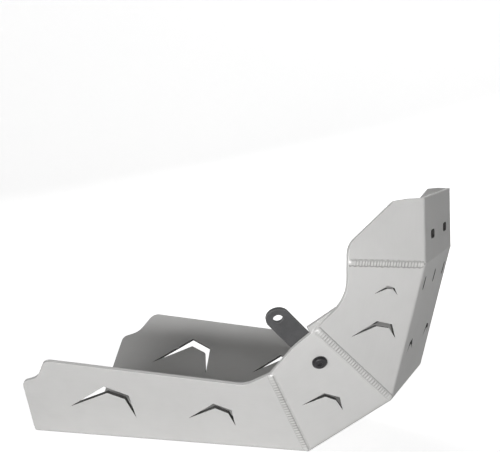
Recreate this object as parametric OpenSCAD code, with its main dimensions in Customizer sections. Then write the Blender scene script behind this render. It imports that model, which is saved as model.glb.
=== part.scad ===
// Motorcycle skid plate: one aluminium sheet folded into a trough, with four
// flared wings up each side, ripple-welded to each other at three seams a side.
// A steel bar behind each ramp wing ties the plate to the machine.
// +X is forward, +Y the rider's left, +Z up. It stands on its bottom panel.
// Every outline is drawn on the outer face of the sheet.

/* [Sheet] */
// Thickness of the folded sheet, mm
sheet_t = 4; // [3:0.5:6]
// Width of the centre panels, from side fold to side fold
guard_w = 220; // [170:1:270]
// Outer radius of the long folds between the centre and the wings
side_fold_r = 8; // [6:0.5:12]
// Outer radius of the cross folds between one centre panel and the next
cross_fold_r = 9; // [6:0.5:14]

/* [Centre panels] */
// Length of the bottom panel
bottom_len = 324; // [280:1:380]
// Length of the ramp panel
ramp_len = 111.5; // [100:0.5:125]
// Length of the front panel
front_len = 152.5; // [140:0.5:175]
// Length of the top panel
top_len = 70.5; // [60:0.5:85]
// Rise of the ramp from level, degrees
ramp_rise = 35; // [25:1:42]
// Rise of the front panel from level, degrees
front_rise = 77.25; // [68:0.25:84]
// Rise of the top panel from level, degrees
top_rise = 92.25; // [86:0.25:96]

/* [Wings] */
// Flare of the bottom wing from square, degrees
bottom_flare = 37.5; // [30:0.5:42]
// Flare of the ramp wing from square, degrees
ramp_flare = 38.5; // [30:0.5:44]
// Flare of the front wing from square, degrees
front_flare = 46; // [40:0.5:50]
// Flare of the top wing from square, degrees
top_flare = 46; // [40:0.5:50]
// Length of the seam between the bottom and ramp wings, from the folded corner
seam_low = 126.5; // [110:0.5:140]
// Length of the seam between the ramp and front wings
seam_mid = 138.5; // [120:0.5:150]
// Length of the seam between the front and top wings
seam_high = 100.5; // [85:0.5:115]

/* [Weld beads] */
// Width of a bead across the seam
bead_w = 8.4; // [6:0.2:11]
// Height of a bead's crown over the ridge of the seam
bead_h = 0.8; // [0.5:0.1:2]
// Distance from the folded corner to the start of a bead
bead_start = 4.5; // [4:0.5:8]
// Distance from one ripple to the next
ripple_pitch = 2.8; // [2:0.1:4]
// Depth of the ripples
ripple_depth = 0.35; // [0.15:0.05:0.45]

/* [Front openings] */
// Length of the two level slots in the top panel
top_slot_len = 30; // [15:1:45]
// Height of those slots
top_slot_w = 10; // [6:0.5:14]
// Distance from each level slot's middle to the centre line
top_slot_y = 52; // [30:1:70]
// Distance from the top panel's fold up to their middles
top_slot_up = 28; // [15:1:45]
// Length of the three short upright slots in the front panel
short_slot_len = 16; // [10:1:24]
// Width of those slots
short_slot_w = 9; // [6:0.5:12]
// Distance from the ramp's top fold up to their middles
short_slot_up = 128; // [115:1:135]
// Distance from one of them to the next
short_slot_step = 80; // [40:1:85]
// Distance from the lower front arrows' tips to the centre line
front_arrow_y = 58; // [50:1:62]

/* [Bottom openings] */
// Diameter of the oil drain opening
drain_hole_d = 40; // [25:1:44]
// Distance from the rear edge to the oil drain opening
drain_hole_back = 205; // [180:1:230]
// Length of the water drain slots
drain_slot_len = 36; // [20:1:44]
// Width of the water drain slots
drain_slot_w = 10; // [6:0.5:14]
// Distance from each water drain slot to the centre line
drain_slot_y = 60; // [30:1:80]
// Distance from the rear edge to the rear pair of drain slots
drain_slot_back = 80; // [60:1:100]
// Distance from the rear pair to the front pair
drain_slot_step = 60; // [50:1:80]
// Diameter of the two rear mounting holes
rear_hole_d = 9; // [6:0.5:12]
// Distance between the two rear mounting holes
rear_hole_span = 150; // [90:1:180]
// Distance from the rear edge to the rear mounting holes
rear_hole_back = 22; // [15:1:35]

/* [Side brackets] */
// Width of the flat steel bar behind each ramp wing
bar_w = 25; // [20:1:32]
// Thickness of the bar
bar_t = 4; // [3:0.5:5]
// Height of the side bolt above the long fold, along the ramp wing
side_bolt_up = 99.5; // [85:0.5:108]
// Distance of the side bolt from the lower end of the ramp
side_bolt_along = 84.5; // [60:0.5:90]
// Distance between the two holes in the bar
bar_pitch = 74; // [55:1:90]
// Diameter of the bar's upper hole, for the machine's own bolt
bar_top_hole_d = 10.5; // [8:0.5:13]

/* [Side bolts] */
// Diameter of the side bolts
bolt_d = 8; // [6:1:8]
// Length of the side bolts under the head
bolt_len = 20; // [20:1:35]
// Diameter of the low button head
head_d = 14; // [12:0.5:16]
// Height of that head
head_h = 2.6; // [2:0.1:4.5]
// Width of the hexagon socket across flats
socket_af = 5; // [4:0.5:6]
// Outer diameter of the washer under the head
washer_d = 16; // [14:0.5:20]
// Thickness of the washer
washer_t = 1.6; // [1:0.1:2.5]
// Width of the flange nut across flats
nut_af = 13; // [11:0.5:14]
// Diameter of the nut's flange
nut_flange_d = 17.8; // [15:0.2:20]
// Height of the flange nut
nut_h = 8; // [6:0.5:10]
// Play around the bolt in the washer, on the diameter
washer_play = 0.4; // [0.2:0.1:1]
// Play around the bolt in the wing and the bar, on the diameter
hole_play = 1; // [0.4:0.1:2]
// Play between the bolt and the nut's bore, on the diameter
thread_play = 0.1; // [0:0.05:0.2]

/* [Hidden] */
$fn = 64;

anodised = [0.78, 0.78, 0.775];
dark_steel = [0.30, 0.30, 0.31];
black_steel = [0.10, 0.10, 0.11];

// panels from the rear edge to the top: 0 bottom, 1 ramp, 2 front, 3 top
panel_len = [bottom_len, ramp_len, front_len, top_len];
panel_rise = [0, ramp_rise, front_rise, top_rise];
flare = [bottom_flare, ramp_flare, front_flare, top_flare];
seam_len = [0, seam_low, seam_mid, seam_high];

// ends of the panels along the profile, as [x, z]; the whole is centred in x
function raw_corner(i) = i == 0 ? [0, 0] : raw_corner(i - 1)
    + panel_len[i - 1] * [cos(panel_rise[i - 1]), sin(panel_rise[i - 1])];
mid_x = max([for (i = [0:4]) raw_corner(i).x]) / 2;
function corner(i) = raw_corner(i) - [mid_x, 0];

// side fold: how far the flat faces start from the sharp corner
function fold_turn(i) = 90 - flare[i];
function fold_back(i) = side_fold_r * tan(fold_turn(i) / 2);
// cross fold at corner i, between panel i - 1 and panel i
function cross_turn(i) = panel_rise[i] - panel_rise[i - 1];

// outward normal of a right-hand wing, and the seams between wings
function wing_out(i) = [sin(flare[i]) * sin(panel_rise[i]), -cos(flare[i]),
                        -sin(flare[i]) * cos(panel_rise[i])];
function unit(v) = v / norm(v);
function seam_way(i) = unit(cross(wing_out(i - 1), wing_out(i)));
function seam_out(i) = unit(wing_out(i - 1) + wing_out(i));
// a wing's own axes: along the fold, and up the wing
function along(i) = [cos(panel_rise[i]), 0, sin(panel_rise[i])];
function up_wing(i) = cross(wing_out(i), along(i));
// top end of seam s seen in the flat of wing i, as [along, up]
function seam_top(s, i) = [(s == i ? 0 : panel_len[i]) + seam_len[s] * seam_way(s) * along(i),
                           seam_len[s] * seam_way(s) * up_wing(i)];

cut = 1; // how far a cutting tool runs past a face
past = 12; // how far a wing runs past its seams before the mitre cut
lap = 0.02; // how far each side of a seam runs into the other, so that they fuse
rim_floor = 10; // height up a wing, above the fold, from which its rim is cut
big = 800; // edge of a block that cuts away one side of a plane

// a corner list [x, y, radius] as a polygon with its corners rounded
arc_steps = 8;
function round_corner(a, p, b) =
    let (u = unit([a.x - p.x, a.y - p.y]), v = unit([b.x - p.x, b.y - p.y]),
         half = acos(max(-1, min(1, u * v))) / 2,
         q = [p.x, p.y], r = p[2],
         m = q + unit(u + v) * r / sin(half),
         s = q + u * r / tan(half) - m, e = q + v * r / tan(half) - m,
         a0 = atan2(s.y, s.x), turn = atan2(s.x * e.y - s.y * e.x, s * e))
    [for (k = [0:arc_steps]) m + r * [cos(a0 + turn * k / arc_steps), sin(a0 + turn * k / arc_steps)]];
function rounded(pts) = [for (i = [0:len(pts) - 1])
    let (a = pts[(i + len(pts) - 1) % len(pts)], p = pts[i], b = pts[(i + 1) % len(pts)])
    each p[2] > 0 ? round_corner(a, p, b) : [[p.x, p.y]]];
function beyond(a, b) = let (w = unit([b.x - a.x, b.y - a.y])) [b.x + past * w.x, b.y + past * w.y, 0];

// rims of the wings in their own flat, from rear to front, as [along, up, radius]
rear_step = [[6.3, 84, 10], [27, 93.5, 22], [42, 122, 13]];
bottom_dip = [268, 103, 26];
ramp_crown = [75, 134, 60];
front_hollow = [106, 89.5, 36];
top_shoulder = [27, 99, 20];
top_tip = [top_len - 1.5, 40, 6];
function rim(i) =
    i == 0 ? concat([[0, rim_floor, 0]], rear_step, [bottom_dip, beyond(bottom_dip, seam_top(1, 0))])
    : i == 1 ? [beyond(ramp_crown, seam_top(1, 1)), ramp_crown, beyond(ramp_crown, seam_top(2, 1))]
    : i == 2 ? [beyond(front_hollow, seam_top(2, 2)), front_hollow, beyond(front_hollow, seam_top(3, 2))]
    : [beyond(top_shoulder, seam_top(3, 3)), top_shoulder, top_tip, [top_len + 1, rim_floor, 0]];
// the rim closed below it, with room past the seams for the mitre cuts
function wing_outline(i) =
    let (r = rim(i), a = r[0], b = r[len(r) - 1], rear = -past, front = panel_len[i] + past)
    concat(i == 0 ? [[0, 0, 0]] : [[rear, 0, 0], [rear, a.y, 0]], r,
           i == 3 ? [[b.x, 0, 0]] : [[max(front, b.x), b.y, 0], [max(front, b.x), 0, 0]]);

// arrow-shaped cut-outs, as [wing, outline]: tail, tip, shoulder, point, inner shoulder, inner tip
arrows = [
    [0, [[55.5, 48.5], [104.5, 86.5], [131, 74], [132, 36.5], [125, 67.5], [106, 76]]],
    [0, [[193.5, 42.5], [227.5, 70.5], [246.5, 61.5], [247, 35.5], [242, 56], [228, 63]]],
    [1, [[34.5, 62], [63, 59.5], [72, 43], [64, 25.5], [66.5, 42.5], [61, 54.5]]],
    [2, [[65, 74], [85, 45.5], [83.5, 25], [68.5, 16], [79, 27.5], [79.5, 44.5]]],
    [2, [[113.5, 58], [124, 43], [122.5, 33.5], [115.5, 27.5], [121, 35], [121, 42]]]];
// the pair low in the front panel, as [up the panel, out from the tip's place]
front_arrow = [[47, 16], [62, 0], [59, -16], [47, -22], [54, -14], [55.5, -2]];

// puts a child drawn in panel i's frame in its place: x along, y left, z inward
module on_panel(i) translate([corner(i).x, 0, corner(i).y]) rotate([0, -panel_rise[i], 0]) children();
// the same for the flat of a right-hand wing: x along the fold, y up the wing, z outward
module on_wing(i) on_panel(i) translate([0, -guard_w / 2, 0]) rotate([90 + flare[i], 0, 0]) children();
// the frame of seam s: x across it, y outward, z along it from the folded corner
module on_seam(s) {
    o = seam_out(s);
    w = seam_way(s);
    a = cross(o, w);
    p = corner(s);
    multmatrix([[a.x, o.x, w.x, p.x], [a.y, o.y, w.y, -guard_w / 2], [a.z, o.z, w.z, p.y]]) children();
}

// a big block on the n side of a plane through the right end of corner s, moved back by lap
module one_side(s, n) translate([corner(s).x, -guard_w / 2, corner(s).y])
    rotate([0, acos(n.z), atan2(n.y, n.x)])
        translate([-big / 2, -big / 2, lap]) cube(big);
function mitre(s) = unit(wing_out(s) - wing_out(s - 1));
function half_turn(s) = (panel_rise[s - 1] + panel_rise[s]) / 2;
function bisector(s) = [cos(half_turn(s)), 0, sin(half_turn(s))];

// every wing carries its fold and a strip of the centre flat, down to strip_y from the centre line
flat_y = guard_w / 2 - max([for (i = [0:3]) fold_back(i)]);
strip_y = flat_y - 1.5;
// the flat of a centre panel, cut to half the turn at its cross folds; it ends inside the strips
module centre_panel(i) {
    w = flat_y + strip_y;
    start = i == 0 ? 0 : -past;
    end = panel_len[i] + past;
    difference() {
        on_panel(i) translate([start, -w / 2, 0]) cube([end - start, w, sheet_t]);
        if (i > 0) one_side(i, -bisector(i));
        if (i < 3) one_side(i + 1, bisector(i + 1));
    }
}

// points on a circle's tangents, from straight down through turn, run on by ext at both ends
fold_steps = 6;
function tangents(r, turn, ext) =
    let (h = turn / fold_steps / 2, a = -90 + h, b = -90 + turn - h)
    concat([r * [cos(a), sin(a)] - ext * [-sin(a), cos(a)]],
           [for (k = [1:fold_steps - 1]) r / cos(h) * [cos(-90 + 2 * h * k), sin(-90 + 2 * h * k)]],
           [r * [cos(b), sin(b)] + ext * [-sin(b), cos(b)]]);
module across_fold(i, w) on_panel(i - 1)
    translate([panel_len[i - 1] - cross_fold_r * tan(cross_turn(i) / 2), w / 2, cross_fold_r])
        rotate([90, 0, 0]) linear_extrude(w) children();
// what rounding takes off the outside of cross fold i
module fold_outside(i) {
    m = -90 + cross_turn(i) / 2;
    across_fold(i, 2 * guard_w) polygon(concat(tangents(cross_fold_r, cross_turn(i), 12),
                                               [3 * cross_fold_r * [cos(m), sin(m)]]));
}
// what it adds on the inside
module fold_inside(i) {
    m = -90 + cross_turn(i) / 2;
    r = cross_fold_r - sheet_t;
    across_fold(i, 2 * strip_y - 1) polygon(concat(tangents(r, cross_turn(i), 5),
                                                   [(r + 2) * [cos(m), sin(m)]]));
}

// cross-section of the right-hand side of panel i: a strip of its flat, the fold and the wing
wing_h = 165;
side_steps = 10;
function side_arc(i, r) = [for (k = [0:side_steps]) let (a = -90 - fold_turn(i) * k / side_steps)
    [fold_back(i) - guard_w / 2 + r * cos(a), side_fold_r + r * sin(a)]];
function side_section(i) =
    let (o = side_arc(i, side_fold_r), n = side_arc(i, side_fold_r - sheet_t),
         up = wing_h * [-sin(flare[i]), cos(flare[i])])
    concat([[-strip_y, 0]], o, [o[side_steps] + up, n[side_steps] + up],
           [for (k = [side_steps:-1:0]) n[k]], [[-strip_y, sheet_t]]);

// what lies above a wing's rim
module above_rim(i) on_wing(i) difference() {
    translate([-big / 2, rim_floor, -3 * sheet_t]) cube([big, big / 2, 6 * sheet_t]);
    translate([0, 0, -4 * sheet_t]) linear_extrude(8 * sheet_t) polygon(rounded(wing_outline(i)));
}

// one right-hand wing with its long fold, mitred at its seams
module wing(i) {
    start = i == 0 ? 0 : -past;
    end = panel_len[i] + past;
    difference() {
        on_panel(i) translate([start, 0, 0]) rotate([90, 0, 90])
            linear_extrude(end - start) polygon(side_section(i));
        above_rim(i);
        if (i > 0) one_side(i, -mitre(i));
        if (i < 3) one_side(i + 1, mitre(i + 1));
    }
}

// a bead of overlapping ripples along seam s, which meets the wings at its toes and is rooted in the sheet
function seam_bend(s) = acos(wing_out(s - 1) * wing_out(s));
module bead(s) {
    rise = bead_h + bead_w / 2 * tan(seam_bend(s) / 2);
    r = (bead_w * bead_w / 4 + rise * rise) / (2 * rise);
    n = floor((seam_len[s] - bead_start - 1) / ripple_pitch);
    profile = concat([[0, 0]],
        [for (k = [0:n - 1]) each [[r - ripple_depth, k * ripple_pitch], [r, (k + 0.4) * ripple_pitch]]],
        [[r - ripple_depth, n * ripple_pitch], [0, n * ripple_pitch]]);
    on_seam(s) intersection() {
        translate([0, bead_h - r, bead_start]) rotate_extrude() polygon(profile);
        translate([-bead_w, -sheet_t / 2, 0]) cube([2 * bead_w, sheet_t, seam_len[s]]);
    }
}

// small doubler welded behind the rim of the front wing, with its corners from the top of the middle seam
doubler_t = 3;
doubler_sink = 0.5;
doubler = [[0.5, 7.7], [-5.5, 2.2], [2.5, -11.8], [22.5, -27.8], [24.5, -22.3]];
module rim_doubler() on_wing(2) translate([0, 0, -sheet_t - doubler_t]) translate(seam_top(2, 2))
    linear_extrude(doubler_t + doubler_sink) polygon(doubler);

module right_half() {
    for (i = [0:3]) wing(i);
    for (s = [1:3]) bead(s);
    rim_doubler();
}

module slot(length, width, depth) {
    for (side = [-1, 1]) translate([side * (length - width) / 2, 0, 0]) cylinder(d = width, h = depth);
    translate([-(length - width) / 2, -width / 2, 0]) cube([length - width, width, depth]);
}

// what is cut through the right-hand wings
module wing_cuts() {
    for (a = arrows) on_wing(a[0]) translate([0, 0, -sheet_t - cut])
        linear_extrude(sheet_t + 2 * cut) polygon(a[1]);
    on_wing(1) translate([side_bolt_along, side_bolt_up, -sheet_t - cut])
        cylinder(d = bolt_d + hole_play, h = sheet_t + 2 * cut);
}

module centre_cuts() {
    through = sheet_t + 2 * cut;
    on_panel(3) for (side = [-1, 1]) translate([top_slot_up, side * top_slot_y, -cut])
        rotate([0, 0, 90]) slot(top_slot_len, top_slot_w, through);
    on_panel(2) {
        for (k = [-1:1]) translate([short_slot_up, k * short_slot_step, -cut])
            slot(short_slot_len, short_slot_w, through);
        for (side = [-1, 1]) translate([0, side * front_arrow_y, -cut]) mirror([0, side > 0 ? 1 : 0, 0])
            linear_extrude(through) polygon(front_arrow);
    }
    on_panel(0) {
        translate([drain_hole_back, 0, -cut]) cylinder(d = drain_hole_d, h = through);
        for (k = [0, 1], side = [-1, 1])
            translate([drain_slot_back + k * drain_slot_step, side * drain_slot_y, -cut])
                slot(drain_slot_len, drain_slot_w, through);
        for (side = [-1, 1]) translate([rear_hole_back, side * rear_hole_span / 2, -cut])
            cylinder(d = rear_hole_d, h = through);
    }
}

module guard_shell() color(anodised) difference() {
    union() {
        for (i = [0:3]) centre_panel(i);
        for (i = [1:3]) fold_inside(i);
        right_half();
        mirror([0, 1, 0]) right_half();
    }
    for (i = [1:3]) fold_outside(i);
    on_panel(3) translate([top_len, -big / 2, -big / 2]) cube(big);
    wing_cuts();
    mirror([0, 1, 0]) wing_cuts();
    centre_cuts();
}

// puts a child on the axis of the right-hand side bolt: z outward from the wing's outer face
module at_bolt() on_wing(1) translate([side_bolt_along, side_bolt_up, 0]) children();

// flat bar against the inner face of the ramp wing, up past its rim
module side_bracket() color(dark_steel) at_bolt() translate([0, 0, -sheet_t - bar_t]) difference() {
    union() {
        for (y = [0, bar_pitch]) translate([0, y, 0]) cylinder(d = bar_w, h = bar_t);
        translate([-bar_w / 2, 0, 0]) cube([bar_w, bar_pitch, bar_t]);
    }
    translate([0, 0, -cut]) cylinder(d = bolt_d + hole_play, h = bar_t + 2 * cut);
    translate([0, bar_pitch, -cut]) cylinder(d = bar_top_hole_d, h = bar_t + 2 * cut);
}

module side_washer() color(black_steel) at_bolt() difference() {
    cylinder(d = washer_d, h = washer_t);
    translate([0, 0, -cut]) cylinder(d = bolt_d + washer_play, h = washer_t + 2 * cut);
}

// low button head with a hexagon socket, and a plain shank with a chamfered end
head_rim_h = 0.8;
head_top_d = 9.6;
head_floor = 1; // metal left under the socket
shank_chamfer = 0.75;
shoulder_steps = 8;
module side_bolt() color(black_steel) at_bolt() translate([0, 0, washer_t]) difference() {
    shoulder = [(head_d - head_top_d) / 2, head_h - head_rim_h];
    rotate_extrude() polygon(concat(
        [[0, head_h], [0, -bolt_len], [bolt_d / 2 - shank_chamfer, -bolt_len],
         [bolt_d / 2, -bolt_len + shank_chamfer], [bolt_d / 2, 0], [head_d / 2, 0]],
        [for (k = [0:shoulder_steps]) let (t = 90 * k / shoulder_steps)
            [head_top_d / 2 + shoulder.x * cos(t), head_rim_h + shoulder.y * sin(t)]]));
    translate([0, 0, head_floor]) cylinder(d = socket_af / cos(30), h = head_h, $fn = 6);
}

// hexagon with a chamfered free end, and a flange that stands out on a cone
nut_flange_h = 1.2;
nut_cone_h = 1.8;
module side_nut() color(black_steel) at_bolt() translate([0, 0, -sheet_t - bar_t - nut_h]) difference() {
    union() {
        intersection() {
            cylinder(d = nut_af / cos(30), h = nut_h, $fn = 6);
            cylinder(d1 = nut_af, d2 = nut_af + 2 * nut_h, h = nut_h);
        }
        translate([0, 0, nut_h - nut_flange_h]) cylinder(d = nut_flange_d, h = nut_flange_h);
        translate([0, 0, nut_h - nut_flange_h - nut_cone_h])
            cylinder(d1 = nut_af, d2 = nut_flange_d, h = nut_cone_h);
    }
    translate([0, 0, -cut]) cylinder(d = bolt_d + thread_play, h = nut_h + 2 * cut);
}

module side_bracket_right() side_bracket();
module side_bracket_left() mirror([0, 1, 0]) side_bracket();
module side_washer_right() side_washer();
module side_washer_left() mirror([0, 1, 0]) side_washer();
module side_bolt_right() side_bolt();
module side_bolt_left() mirror([0, 1, 0]) side_bolt();
module side_nut_right() side_nut();
module side_nut_left() mirror([0, 1, 0]) side_nut();

guard_shell();
side_bracket_right();
side_washer_right();
side_bolt_right();
side_nut_right();
side_bracket_left();
side_washer_left();
side_bolt_left();
side_nut_left();
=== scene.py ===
import bmesh
import bpy
import math
import random
from mathutils import Matrix, Vector


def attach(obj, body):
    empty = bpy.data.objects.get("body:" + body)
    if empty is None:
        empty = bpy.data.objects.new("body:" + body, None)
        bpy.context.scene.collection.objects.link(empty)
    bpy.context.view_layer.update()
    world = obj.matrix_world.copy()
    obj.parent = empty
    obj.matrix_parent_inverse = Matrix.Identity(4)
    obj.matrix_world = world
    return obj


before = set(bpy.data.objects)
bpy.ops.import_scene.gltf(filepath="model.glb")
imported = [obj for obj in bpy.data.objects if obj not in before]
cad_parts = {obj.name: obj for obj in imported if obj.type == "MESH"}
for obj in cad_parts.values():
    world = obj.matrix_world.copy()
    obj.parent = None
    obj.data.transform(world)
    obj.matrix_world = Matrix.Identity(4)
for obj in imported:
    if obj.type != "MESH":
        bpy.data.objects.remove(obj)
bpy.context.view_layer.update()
scene = bpy.context.scene
rad = math.radians

# Sizes repeated from part.scad: lengths in millimetres, angles in degrees, panels from the rear forward.
MM = 0.001
SHEET_T, GUARD_W, FOLD_R = 4.0, 220.0, 8.0
PANEL = [324.0, 111.5, 152.5, 70.5]
RISE = [0.0, 35.0, 77.25, 92.25]
FLARE = [37.5, 38.5, 46.0, 46.0]
SEAM = [0.0, 126.5, 138.5, 100.5]  # the seam at the rear of each wing, and none at the first
BEAD_W, BEAD_H, BEAD_START = 8.4, 0.8, 4.5
SIDES = ((1, "right"), (-1, "left"))


def corners():
    """The corners of the side profile as (x, z), with its length centred on x = 0."""
    out = [(0.0, 0.0)]
    for length, rise in zip(PANEL, RISE):
        x, z = out[-1]
        out.append((x + length * math.cos(rad(rise)), z + length * math.sin(rad(rise))))
    mid = max(x for x, z in out) / 2
    return [(x - mid, z) for x, z in out]


CORNER = corners()


def corner_point(i):
    """Where panel i begins, on the sharp line of the right long fold."""
    return Vector((CORNER[i][0], -GUARD_W / 2, CORNER[i][1]))


def panel_out(i):
    """Outward normal of panel i."""
    return Vector((math.sin(rad(RISE[i])), 0, -math.cos(rad(RISE[i]))))


def wing_out(i):
    """Outward normal of wing i on the right side."""
    f, r = rad(FLARE[i]), rad(RISE[i])
    return Vector((math.sin(f) * math.sin(r), -math.cos(f), -math.sin(f) * math.cos(r)))


def mirrored(v, side):
    """A point or direction of the right side as it is for side 1, and mirrored for side -1."""
    return Vector((v.x, side * v.y, v.z))


def seam_axes(s):
    """Directions across seam s, out of it, and along it from the long fold to the rim."""
    way = wing_out(s - 1).cross(wing_out(s)).normalized()
    out = (wing_out(s - 1) + wing_out(s)).normalized()
    return out.cross(way), out, way


def unit(v):
    return max(0.0, min(1.0, v))


# Shader helpers. Each adds nodes to the tree t and returns an output.
EDGE_SAMPLES, EDGE_GAIN = 6, 7.0


def material(name):
    m = bpy.data.materials.new(name)
    m.use_nodes = True
    return m, m.node_tree, m.node_tree.nodes["Principled BSDF"]


def noise(t, scale, detail, rough, squeeze=(1, 1, 1)):
    """Noise in the piece's own coordinates, made finer along each axis by its squeeze."""
    at = t.nodes.new("ShaderNodeTexCoord")
    mapping = t.nodes.new("ShaderNodeMapping")
    mapping.inputs["Scale"].default_value = squeeze
    t.links.new(at.outputs["Object"], mapping.inputs["Vector"])
    n = t.nodes.new("ShaderNodeTexNoise")
    n.inputs["Scale"].default_value = scale
    n.inputs["Detail"].default_value = detail
    n.inputs["Roughness"].default_value = rough
    t.links.new(mapping.outputs["Vector"], n.inputs["Vector"])
    return n.outputs["Fac"]


def ramp(t, fac, *stops):
    """A colour ramp. A stop is its place and its colour, or one number for a grey."""
    n = t.nodes.new("ShaderNodeValToRGB")
    elements = n.color_ramp.elements
    while len(elements) < len(stops):
        elements.new(0.5)
    for k, (place, colour) in enumerate(stops):
        elements[k].position = place
        elements[k].color = (*colour, 1) if isinstance(colour, tuple) else (colour, colour, colour, 1)
    t.links.new(fac, n.inputs["Fac"])
    return n.outputs["Color"]


def maths(t, operation, a, b, clamp=False):
    n = t.nodes.new("ShaderNodeMath")
    n.operation = operation
    n.use_clamp = clamp
    for socket, value in zip(n.inputs, (a, b)):
        if isinstance(value, bpy.types.NodeSocket):
            t.links.new(value, socket)
        else:
            socket.default_value = value
    return n.outputs[0]


def weighted(t, *parts):
    """The sum of some outputs, each times its weight."""
    terms = [maths(t, "MULTIPLY", output, weight) for output, weight in parts]
    total = terms[0]
    for term in terms[1:]:
        total = maths(t, "ADD", total, term)
    return total


def tinted(t, colour, mask, share, tint):
    """The colour, mixed by that share with the tint where the mask is 1."""
    n = t.nodes.new("ShaderNodeMix")
    n.data_type = "RGBA"
    # the node's colours are its inputs 6 and 7 and its output 2
    t.links.new(maths(t, "MULTIPLY", mask, share), n.inputs[0])
    t.links.new(colour, n.inputs[6])
    n.inputs[7].default_value = (*tint, 1)
    return n.outputs[2]


def bump(t, height, depth, strength, normal=None):
    """A bump of that depth in millimetres, over the normal where one is given."""
    n = t.nodes.new("ShaderNodeBump")
    n.inputs["Strength"].default_value = strength
    n.inputs["Distance"].default_value = depth * MM
    t.links.new(height, n.inputs["Height"])
    if normal is not None:
        t.links.new(normal, n.inputs["Normal"])
    return n.outputs["Normal"]


def attribute(t, name):
    n = t.nodes.new("ShaderNodeAttribute")
    n.attribute_name = name
    return n.outputs["Fac"]


def edges(t, radius):
    """1 within about radius of a sharp edge and 0 on the flats, with the softened normal."""
    bevel = t.nodes.new("ShaderNodeBevel")
    bevel.samples = EDGE_SAMPLES
    bevel.inputs["Radius"].default_value = radius * MM
    geometry = t.nodes.new("ShaderNodeNewGeometry")
    dot = t.nodes.new("ShaderNodeVectorMath")
    dot.operation = "DOT_PRODUCT"
    t.links.new(bevel.outputs["Normal"], dot.inputs[0])
    t.links.new(geometry.outputs["Normal"], dot.inputs[1])
    away = maths(t, "SUBTRACT", 1.0, dot.outputs["Value"])
    return maths(t, "MULTIPLY", away, EDGE_GAIN, clamp=True), bevel.outputs["Normal"]


def wire(t, p, colour, rough, normal):
    """Links the three outputs that every material of the part has to its shader."""
    t.links.new(colour, p.inputs["Base Color"])
    t.links.new(rough, p.inputs["Roughness"])
    t.links.new(normal, p.inputs["Normal"])


def sheet_material():
    """Matt anodised aluminium sheet: faint mottling and rolling grain, with a painted highlight along its cut
    edges.
    """
    m, t, p = material("anodised_sheet")
    big = noise(t, scale=14.0, detail=3.0, rough=0.5)
    cloud = noise(t, scale=55.0, detail=5.0, rough=0.6)
    grain = noise(t, scale=1.0, detail=3.0, rough=0.6, squeeze=(30, 900, 30))
    fine = noise(t, scale=2600.0, detail=2.0, rough=0.6)
    edge, soft = edges(t, 0.7)
    colour = ramp(t, weighted(t, (big, 0.45), (cloud, 0.35), (grain, 0.2)),
                  (0.36, (0.622, 0.618, 0.609)), (0.50, (0.640, 0.636, 0.627)), (0.64, (0.655, 0.651, 0.642)))
    # painted highlight: the colour turns pale within about 0.7 mm of every sharp edge
    colour = tinted(t, colour, edge, 0.75, (0.84, 0.84, 0.83))
    rough = ramp(t, weighted(t, (cloud, 0.6), (fine, 0.4)), (0.35, 0.50), (0.65, 0.62))
    rough = tinted(t, rough, edge, 0.8, (0.30, 0.30, 0.30))
    low = bump(t, grain, depth=0.02, strength=0.35, normal=soft)
    wire(t, p, colour, rough, bump(t, fine, depth=0.04, strength=0.35, normal=low))
    p.inputs["Metallic"].default_value = 0.16
    p.inputs["Specular IOR Level"].default_value = 0.04
    return m


def shaded_wall_material():
    """Cut walls of the openings: rough metal with the fine ridges of the cut, coloured almost black as
    painted shade.
    """
    m, t, p = material("cut_wall_painted_shade")
    cloud = noise(t, scale=160.0, detail=4.0, rough=0.6)
    ridges = noise(t, scale=2200.0, detail=2.0, rough=0.5, squeeze=(1, 0.12, 1))
    # painted shade: the walls are coloured almost black so that the openings read as if in shade
    colour = ramp(t, weighted(t, (cloud, 0.5), (ridges, 0.5)),
                  (0.36, (0.050, 0.049, 0.047)), (0.64, (0.105, 0.103, 0.100)))
    rough = ramp(t, ridges, (0.35, 0.55), (0.65, 0.70))
    wire(t, p, colour, rough, bump(t, ridges, depth=0.05, strength=0.6))
    p.inputs["Specular IOR Level"].default_value = 0.1
    return m


def weld_material():
    """Ripple weld: a little darker and warmer than the sheet, with painted shade in the hollows between its
    ripples and along its toes.
    """
    m, t, p = material("weld_metal")
    cloud = noise(t, scale=240.0, detail=5.0, rough=0.6)
    fine = noise(t, scale=1900.0, detail=3.0, rough=0.6)
    colour = ramp(t, weighted(t, (cloud, 0.7), (fine, 0.3)),
                  (0.34, (0.58, 0.575, 0.565)), (0.5, (0.64, 0.635, 0.625)), (0.66, (0.70, 0.695, 0.685)))
    # painted shade: darker in the hollows between the ripples and in a line along each toe
    colour = tinted(t, colour, attribute(t, "hollow"), 0.85, (0.27, 0.265, 0.255))
    colour = tinted(t, colour, attribute(t, "toe"), 0.85, (0.16, 0.155, 0.15))
    rough = ramp(t, cloud, (0.35, 0.34), (0.65, 0.50))
    wire(t, p, colour, rough, bump(t, fine, depth=0.05, strength=0.5))
    p.inputs["Metallic"].default_value = 0.35
    p.inputs["Specular IOR Level"].default_value = 0.35
    return m


def bar_material():
    """Dark grey powder coat with orange peel, with a painted highlight along its edges."""
    m, t, p = material("bar_coat")
    cloud = noise(t, scale=70.0, detail=5.0, rough=0.6)
    peel = noise(t, scale=1300.0, detail=2.0, rough=0.5)
    edge, soft = edges(t, 0.6)
    colour = ramp(t, cloud, (0.35, (0.048, 0.048, 0.050)), (0.65, (0.070, 0.070, 0.072)))
    # painted highlight: the colour turns lighter within about 0.6 mm of every sharp edge
    colour = tinted(t, colour, edge, 0.55, (0.33, 0.33, 0.33))
    rough = ramp(t, peel, (0.35, 0.40), (0.65, 0.52))
    wire(t, p, colour, rough, bump(t, peel, depth=0.05, strength=0.5, normal=soft))
    return m


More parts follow.
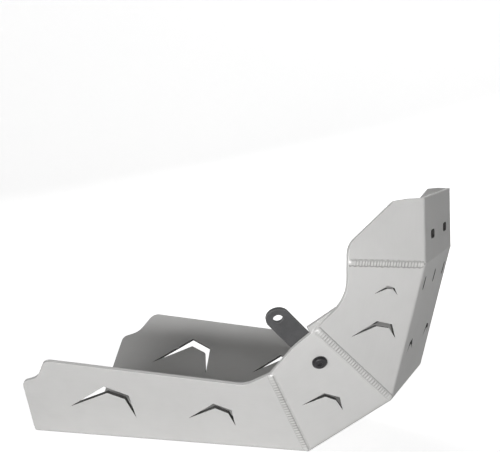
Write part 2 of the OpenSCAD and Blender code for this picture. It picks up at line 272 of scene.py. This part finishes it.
def bolt_material():
    """Black oxide steel, with a thin oily sheen, lighter along its edges."""
    m, t, p = material("black_oxide")
    cloud = noise(t, scale=420.0, detail=4.0, rough=0.6)
    fine = noise(t, scale=3200.0, detail=2.0, rough=0.5)
    edge, soft = edges(t, 0.3)
    colour = ramp(t, cloud, (0.35, (0.012, 0.012, 0.014)), (0.65, (0.028, 0.027, 0.028)))
    # the colour turns lighter within about 0.3 mm of every sharp edge
    colour = tinted(t, colour, edge, 0.5, (0.16, 0.16, 0.16))
    rough = ramp(t, cloud, (0.35, 0.34), (0.65, 0.46))
    wire(t, p, colour, rough, bump(t, fine, depth=0.02, strength=0.4, normal=soft))
    p.inputs["Metallic"].default_value = 0.35
    return m


SHEET, SHADED_WALL, WELD = sheet_material(), shaded_wall_material(), weld_material()
BAR, BOLT = bar_material(), bolt_material()


# The cut walls of the openings, told from the rest of the shell
WALL_DEPTH = 0.5  # the middle of a wall's face lies at least this deep under both faces of its sheet
WALL_LEAN = 0.3  # the largest cosine between the normals of a wall and of its sheet
SPOTS_PER_METRE = 1e5  # corners on the same spot of this grid are one
OPENING_SPAN = 110.0  # no opening is longer, and every rim is


def through_faces(o):
    """The faces that run through the sheet, each with its corners as spots of the grid."""
    sheets = []
    for i in range(len(PANEL)):
        sheets.append((panel_out(i), corner_point(i)))
        for side, word in SIDES:
            sheets.append((mirrored(wing_out(i), side), mirrored(corner_point(i), side)))
    faces = {}
    for poly in o.data.polygons:
        centre = o.matrix_world @ poly.center / MM
        if any(WALL_DEPTH < (base - centre).dot(out) < SHEET_T - WALL_DEPTH
               and abs(poly.normal.dot(out)) < WALL_LEAN for out, base in sheets):
            faces[poly.index] = [tuple(round(v * SPOTS_PER_METRE) for v in o.data.vertices[k].co)
                                 for k in poly.vertices]
    return faces


def opening_walls(o):
    """The faces that run through the sheet around an opening, and not along an outer rim."""
    faces = through_faces(o)
    touching = {}
    for index, spots in faces.items():
        for spot in spots:
            touching.setdefault(spot, []).append(index)
    walls, seen = [], set()
    for first in faces:
        if first in seen:
            continue
        group, todo = [], [first]
        while todo:
            index = todo.pop()
            if index not in seen:
                seen.add(index)
                group.append(index)
                for spot in faces[index]:
                    todo += touching[spot]
        spots = [spot for index in group for spot in faces[index]]
        span = max(max(s[k] for s in spots) - min(s[k] for s in spots) for k in range(3))
        if span / SPOTS_PER_METRE / MM < OPENING_SPAN:
            walls += group
    return walls


def coat(name, mat):
    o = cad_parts[name]
    o.data.materials.clear()
    o.data.materials.append(mat)
    for poly in o.data.polygons:
        poly.material_index = 0
    return o


shell = coat("guard_shell", SHEET)
# the cut walls of the openings take the near-black painted shade
shell.data.materials.append(SHADED_WALL)
for index in opening_walls(shell):
    shell.data.polygons[index].material_index = 1
for side, word in SIDES:
    coat("side_bracket_" + word, BAR)
    for part in ("washer", "bolt", "nut"):
        coat(f"side_{part}_{word}", BOLT)


def piece(name, verts, faces, mat, smooth=True):
    """A new mesh that rides on the part."""
    me = bpy.data.meshes.new(name)
    me.from_pydata(verts, [], faces)
    me.update()
    me.materials.append(mat)
    for poly in me.polygons:
        poly.use_smooth = smooth
    o = bpy.data.objects.new(name, me)
    scene.collection.objects.link(o)
    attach(o, "root")
    return o


def marked(o, **values):
    """Writes one number a vertex under each name, for the materials to read."""
    for name, numbers in values.items():
        o.data.attributes.new(name, "FLOAT", "POINT").data.foreach_set("value", numbers)


# Ripple welds. Along a bead, z runs from the long fold to the rim. Across it, u runs from -1 at its front
# toe to 1 at its rear toe. For the bead of each seam: how far it lies off the seam, how far its toes wander,
# how uneven its ripples are, over what lengths the painted shade in its hollows fades out at both ends, and
# the place in u and the strength of the line of painted shade along each toe.
BEADS = {
    1: {"name": "weld_low", "shift": 0.6, "wave": 0.015, "rough": 1.0, "fade": (11.0, 20.0),
        "rear_toe": (0.76, 0.35), "front_toe": (0.58, 0.72)},
    2: {"name": "weld_mid", "shift": -0.4, "wave": 0.015, "rough": 1.0, "fade": (11.0, 14.0),
        "rear_toe": (0.62, 0.32), "front_toe": (0.86, 0.60)},
    3: {"name": "weld_high", "shift": 0.8, "wave": 0.07, "rough": 2.2, "fade": (9.0, 11.0),
        "rear_toe": (0.68, 0.95), "front_toe": (0.70, 0.50)},
}
RIPPLE, RIPPLE_SPREAD = 3.85, 0.10  # pitch of the ripples, and how much it varies
RIPPLE_BEFORE, RIPPLE_AFTER = 4.0, 8.0  # they are marked so far past both ends of a bead
RIPPLE_H, RIPPLE_H_SPREAD = 0.40, 0.05  # height of the ripples, and how much it varies
RIPPLE_SKEW, RIPPLE_FULL = 0.75, 0.6  # powers that lean the top of a ripple back and fill it out
RIPPLE_FALL = 0.6  # the share of its height that a ripple loses towards the toes
CRESCENT = 1.1  # how far the ripples trail at the toes
LEAD_IN, RIM_GAP = 2.3, 0.8  # the bead begins so far before the plain bead, and ends so far before the rim
LEAD_LEN, TAIL_LEN = 3.0, 2.5  # lengths over which its ends rise
LEAD_W, TAIL_W = 0.15, 0.3  # what is left of its width at both ends, squared
BEAD_STEP, BEAD_ACROSS = 0.25, 32  # length of a face, and how many lie side by side
TOE_OVER = 0.35  # how far the toes reach past the plain bead
TOE_SOFT = 0.14  # the share of u in which they fall to the sheet
TOE_WAVE = 7.0  # length of their wandering
TOE_SWING = 0.035  # how far they swing with each ripple
COVER, TOE_H = 0.05, 0.06  # least height over the plain bead, and over the sheet
TOE_SINK, END_SINK = 0.20, 0.6  # depth of the toes and of the ends under the sheet
HOLLOW_DARK, HOLLOW_VARIES, HOLLOW_GAIN = 1.25, 0.2, 1.6  # the painted shade in the hollows between the ripples
HOLLOW_U, HOLLOW_SOFT = 0.68, 0.22  # where in u they end, and how softly
TOE_LINE = 0.24  # half the width in u of the line of painted shade along a toe


def ripple_marks(rng, start, end, rough):
    """Where each ripple begins, how its front and its rear toe swing, and how its height varies."""
    marks, at = [], start - RIPPLE_BEFORE
    while at < end + RIPPLE_AFTER:
        marks.append((at, rng.uniform(-1, 1), rng.uniform(-1, 1), rng.uniform(-1, 1)))
        at += RIPPLE * (1 + RIPPLE_SPREAD * rough * rng.uniform(-1, 1))
    return marks


def ripple_at(marks, z):
    """The ripple at z, the one after it, and how far z has come from the one to the other."""
    k = 0
    while marks[k + 1][0] <= z:
        k += 1
    return marks[k], marks[k + 1], (z - marks[k][0]) / (marks[k + 1][0] - marks[k][0])


def weld(s, side):
    """One bead: convex crescent ripples with uneven toes, laid over the plain bead of the CAD shell."""
    bead = BEADS[s]
    rough = bead["rough"]
    rng = random.Random(100 * s + (7 if side < 0 else 0))
    across, out, way = seam_axes(s)
    origin = corner_point(s)
    fall = math.tan(math.acos(max(-1, min(1, wing_out(s - 1).dot(wing_out(s))))) / 2)
    rise = BEAD_H + BEAD_W / 2 * fall
    r = (BEAD_W ** 2 / 4 + rise ** 2) / (2 * rise)
    start, end = BEAD_START - LEAD_IN, SEAM[s] - RIM_GAP
    marks = ripple_marks(rng, start, end, rough)
    n_along = int((end - start) / BEAD_STEP)
    half = BEAD_W / 2 + TOE_OVER
    verts, faces, hollow, toes = [], [], [], []
    for a in range(n_along + 1):
        z = start + (end - start) * a / n_along
        lead = math.sin(unit((z - start) / LEAD_LEN) * math.pi / 2)
        tail = math.sin(unit((end - z) / TAIL_LEN) * math.pi / 2)
        fade = unit((z - start) / bead["fade"][0]) * unit((end - z) / bead["fade"][1])
        for b in range(BEAD_ACROSS + 1):
            u = 2 * b / BEAD_ACROSS - 1
            here, following, f = ripple_at(marks, z + CRESCENT * u * u)
            bulge = math.sin(math.pi * f ** RIPPLE_SKEW) ** RIPPLE_FULL if 0 < f < 1 else 0.0
            # the toes swing in and out with each ripple, and wander over a longer way
            blend = 0.5 - 0.5 * math.cos(math.pi * f)
            toe_side = 1 if u < 0 else 2
            swing = here[toe_side] * (1 - blend) + following[toe_side] * blend
            wave = bead["wave"] * math.sin(2 * math.pi * z / TOE_WAVE + 2.0 * s + (1.3 if u > 0 else 0))
            t = u * half * (1 + TOE_SWING * rough * swing + wave)
            t *= math.sqrt(LEAD_W + (1 - LEAD_W) * lead) * math.sqrt(TAIL_W + (1 - TAIL_W) * tail)
            t += bead["shift"]
            ground = -abs(t) * fall
            plain = BEAD_H - r + math.sqrt(max(0.0, r * r - t * t))
            crown = plain + COVER + RIPPLE_H * bulge * (1 - RIPPLE_FALL * u * u)
            crown += RIPPLE_H_SPREAD * rough * here[3] * bulge
            body = math.sin(unit((1 - abs(u)) / TOE_SOFT) * math.pi / 2) * min(lead, tail) ** 0.5
            height = ground + max(TOE_H, crown - ground) * body - TOE_SINK * (1 - body)
            if a in (0, n_along):
                height = ground - END_SINK
            p = origin + across * t + out * height + way * z
            verts.append((p.x * MM, side * p.y * MM, p.z * MM))
            # painted shade in the hollows between the ripples, strongest at the crown
            dark = HOLLOW_DARK * (1 - HOLLOW_VARIES + HOLLOW_VARIES * here[3])
            dark *= unit((HOLLOW_U - abs(u)) / HOLLOW_SOFT) * fade
            hollow.append(dark * unit(HOLLOW_GAIN * (1 - bulge)))
            # painted shade: a dark line near each toe, stronger on the side meant to lie in shade
            place, strength = bead["rear_toe" if u > 0 else "front_toe"]
            toes.append(strength * unit(1 - abs(abs(u) - place) / TOE_LINE))
    row = BEAD_ACROSS + 1
    for a in range(n_along):
        for b in range(BEAD_ACROSS):
            q = (a * row + b, a * row + b + 1, (a + 1) * row + b + 1, (a + 1) * row + b)
            faces.append(q if side < 0 else q[::-1])
    return verts, faces, hollow, toes


# The crater at the end of the top bead: radius and height of its rings over the long fold
CRATER = [(0.0, 0.02), (0.7, 0.0), (1.1, 0.02), (1.5, 0.12), (1.85, 0.13), (2.2, 0.02),
          (2.6, -0.25), (3.0, -0.6), (3.3, -0.9)]
CRATER_TURN = 33.0  # how far round the fold it lies, in degrees
CRATER_STEPS = 32
CRATER_WAVE = 0.06  # how far its rim is out of round
PIT_R, SKIRT_R = 1.5, 2.7  # painted shade inside the one radius and outside the other
SKIRT_DARK = 0.5


def crater(side):
    """Round end crater of the top bead, on the long fold where the bead runs out."""
    tilt, turn = rad((RISE[2] + RISE[3]) / 2), rad(CRATER_TURN)
    face = Vector((math.sin(tilt), 0, -math.cos(tilt)))
    back = FOLD_R * math.tan(rad(90 - FLARE[3]) / 2)
    normal = face * math.cos(turn) - Vector((0, 1, 0)) * math.sin(turn)
    centre = corner_point(3) + Vector((0, back, 0)) - face * FOLD_R + normal * FOLD_R
    e1 = Vector((math.cos(tilt), 0, math.sin(tilt)))
    e2 = normal.cross(e1)
    n, verts, faces, hollow, toes = CRATER_STEPS, [], [], [], []
    for radius, height in CRATER:
        for a in range(n):
            w = 2 * math.pi * a / n
            wave = 1 + CRATER_WAVE * math.sin(3 * w + 1) * (radius / CRATER[-1][0])
            p = centre + (e1 * math.cos(w) + e2 * math.sin(w)) * radius * wave + normal * height
            verts.append((p.x * MM, side * p.y * MM, p.z * MM))
            # painted shade in the pit and on the outer skirt of the crater
            hollow.append(1.0 if radius < PIT_R else 0.0)
            toes.append(SKIRT_DARK if radius > SKIRT_R else 0.0)
    for k in range(len(CRATER) - 1):
        for a in range(n):
            q = (k * n + a, (k + 1) * n + a, (k + 1) * n + (a + 1) % n, k * n + (a + 1) % n)
            faces.append(q if side > 0 else q[::-1])
    return verts, faces, hollow, toes


for side, word in SIDES:
    beads = [(BEADS[s]["name"], weld(s, side)) for s in BEADS] + [("weld_crater", crater(side))]
    for name, (verts, faces, hollow, toes) in beads:
        marked(piece(f"{name}_{word}", verts, faces, WELD), hollow=hollow, toe=toes)

# Threads on the ends of the side bolts
THREAD_PITCH, THREAD_CREST, THREAD_ROOT = 1.25, 4.16, 3.90
THREAD_LEN = 5.0  # from just inside the bolt's end back into the nut
THREAD_TIP = 0.9  # how far behind the bolt's end it begins
THREAD_STEPS = 32  # faces in a turn
RIDGE_W, RIDGE_TOP = 0.98, 0.16  # width of a ridge and of its flat, in pitches
TIP_DEPTH = 0.05  # the corners of the bolt's end lie within this


def thread(side, word):
    """The ridges of an M8 thread, wound around the plain shank where it leaves its nut."""
    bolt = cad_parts["side_bolt_" + word]
    inward = -mirrored(wing_out(1), side)
    spots = [bolt.matrix_world @ v.co / MM for v in bolt.data.vertices]
    reach = max(p.dot(inward) for p in spots)
    tip = [p for p in spots if reach - p.dot(inward) < TIP_DEPTH]
    end = sum(tip, Vector((0, 0, 0))) / len(tip)
    e1 = inward.orthogonal().normalized()
    e2 = inward.cross(e1)
    profile = [(-0.5, THREAD_ROOT), (-RIDGE_TOP / 2, THREAD_CREST),
               (RIDGE_TOP / 2, THREAD_CREST), (0.5, THREAD_ROOT)]
    n = int(THREAD_LEN / THREAD_PITCH * THREAD_STEPS)
    verts, faces = [], []
    for k in range(n + 1):
        w = 2 * math.pi * k / THREAD_STEPS
        runout = min(1.0, k / THREAD_STEPS, (n - k) / THREAD_STEPS)
        for shift, radius in profile:
            r = THREAD_ROOT + (radius - THREAD_ROOT) * runout
            depth = THREAD_TIP + (k / THREAD_STEPS + shift * RIDGE_W) * THREAD_PITCH
            p = end - inward * depth + (e1 * math.cos(w) + e2 * math.sin(w)) * r
            verts.append(tuple(p * MM))
    row = len(profile)
    for k in range(n):
        for j in range(row):
            here, following = k * row, (k + 1) * row
            faces.append((here + j, here + (j + 1) % row, following + (j + 1) % row, following + j))
    faces += [tuple(range(row)), tuple(n * row + j for j in reversed(range(row)))]
    return verts, faces


for side, word in SIDES:
    verts, faces = thread(side, word)
    o = piece("side_thread_" + word, verts, faces, BOLT, smooth=False)
    mesh = bmesh.new()
    mesh.from_mesh(o.data)
    bmesh.ops.recalc_face_normals(mesh, faces=mesh.faces)
    mesh.to_mesh(o.data)
    mesh.free()

# Floor, backdrop and light, in metres
GLOW = 0.84  # what the floor adds for the camera and for reflections
WHITE = 0.92  # the world as they see it
WORLD = 0.03  # the world as a light
SWEEP_HALF_W, SWEEP_NEAR, SWEEP_BEND, SWEEP_R, SWEEP_TOP = 6.0, -3.2, 1.8, 1.2, 5.0
SWEEP_STEPS = 10  # faces in its bend
FLOOR_GAP = 0.0004  # the guard stands this far over the paper


def seen_rays(t):
    """1 for rays of the camera, of reflections and through glass, and 0 for rays of light."""
    path = t.nodes.new("ShaderNodeLightPath")
    seen = maths(t, "MAXIMUM", path.outputs["Is Camera Ray"], path.outputs["Is Glossy Ray"])
    return maths(t, "MAXIMUM", seen, path.outputs["Is Transmission Ray"])


def stage_material():
    m, t, p = material("studio_paper")
    speck = noise(t, scale=60.0, detail=3.0, rough=0.5)
    t.links.new(ramp(t, speck, (0.3, 0.620), (0.7, 0.635)), p.inputs["Base Color"])
    p.inputs["Roughness"].default_value = 0.9
    p.inputs["Specular IOR Level"].default_value = 0.1
    p.inputs["Emission Color"].default_value = (1, 1, 1, 1)
    t.links.new(maths(t, "MULTIPLY", seen_rays(t), GLOW), p.inputs["Emission Strength"])
    return m


def sweep():
    """Floor that curves up into a wall behind the object."""
    pts = [(SWEEP_NEAR, 0.0), (SWEEP_BEND, 0.0)]
    for k in range(1, SWEEP_STEPS + 1):
        w = rad(90 * k / SWEEP_STEPS)
        pts.append((SWEEP_BEND + SWEEP_R * math.sin(w), SWEEP_R - SWEEP_R * math.cos(w)))
    pts.append((SWEEP_BEND + SWEEP_R, SWEEP_TOP))
    n = len(pts)
    verts = [(x, y, z - FLOOR_GAP) for x in (-SWEEP_HALF_W, SWEEP_HALF_W) for y, z in pts]
    faces = [(k, n + k, n + k + 1, k + 1) for k in range(n - 1)]
    me = bpy.data.meshes.new("studio_sweep")
    me.from_pydata(verts, [], faces)
    me.materials.append(stage_material())
    for poly in me.polygons:
        poly.use_smooth = True
    o = bpy.data.objects.new("studio_sweep", me)
    scene.collection.objects.link(o)


def area(name, place, target, size, power):
    """A rectangular lamp that faces its target."""
    lamp = bpy.data.lights.new(name, "AREA")
    lamp.shape = "RECTANGLE"
    lamp.size, lamp.size_y = size
    lamp.energy = power
    o = bpy.data.objects.new(name, lamp)
    o.location = place
    o.rotation_mode = "QUATERNION"
    o.rotation_quaternion = (Vector(target) - Vector(place)).to_track_quat("-Z", "Y")
    scene.collection.objects.link(o)


sweep()
area("key", place=(0.15, -2.7, 0.14), target=(0.05, -0.05, 0.12), size=(1.8, 0.22), power=61)
area("bounce", place=(0.75, -0.5, 0.75), target=(1.3, -1.6, 0.0), size=(0.8, 0.4), power=20)
area("back", place=(-0.8, 2.0, 1.2), target=(0.0, 0.0, 0.12), size=(1.4, 0.8), power=26)

scene.world = bpy.data.worlds.new("studio")
scene.world.use_nodes = True
tree = scene.world.node_tree
backdrop = tree.nodes["Background"]
backdrop.inputs["Color"].default_value = (1, 1, 1, 1)
strength = maths(tree, "ADD", maths(tree, "MULTIPLY", seen_rays(tree), WHITE - WORLD), WORLD)
tree.links.new(strength, backdrop.inputs["Strength"])

# The camera, at the photograph's viewing angle: millimetres of lens and film, degrees, and metres
LENS, FILM_W = 96.65, 36
AZIMUTH, ELEVATION, ROLL = 15.2025, 4.5836, 0.6942
CAMERA_AT = Vector((0.415449, -1.527667, 0.364678))
CLIP = (0.05, 50)


def camera_matrix(az, el, roll):
    backward = Vector((math.sin(az) * math.cos(el), -math.cos(az) * math.cos(el), math.sin(el)))
    right = Vector((math.cos(az), math.sin(az), 0))
    upward = backward.cross(right)
    cx = right * math.cos(roll) + upward * math.sin(roll)
    cy = upward * math.cos(roll) - right * math.sin(roll)
    return Matrix((*zip(cx, cy, backward, CAMERA_AT), (0, 0, 0, 1)))


photo_camera = bpy.data.cameras.new("photo_camera")
photo_camera.sensor_width, photo_camera.sensor_fit = FILM_W, "HORIZONTAL"
photo_camera.lens = LENS
photo_camera.clip_start, photo_camera.clip_end = CLIP
cam = bpy.data.objects.new("photo_camera", photo_camera)
cam.matrix_world = camera_matrix(rad(AZIMUTH), rad(ELEVATION), rad(ROLL))
scene.collection.objects.link(cam)
scene.camera = cam

scene.view_settings.view_transform = "Standard"
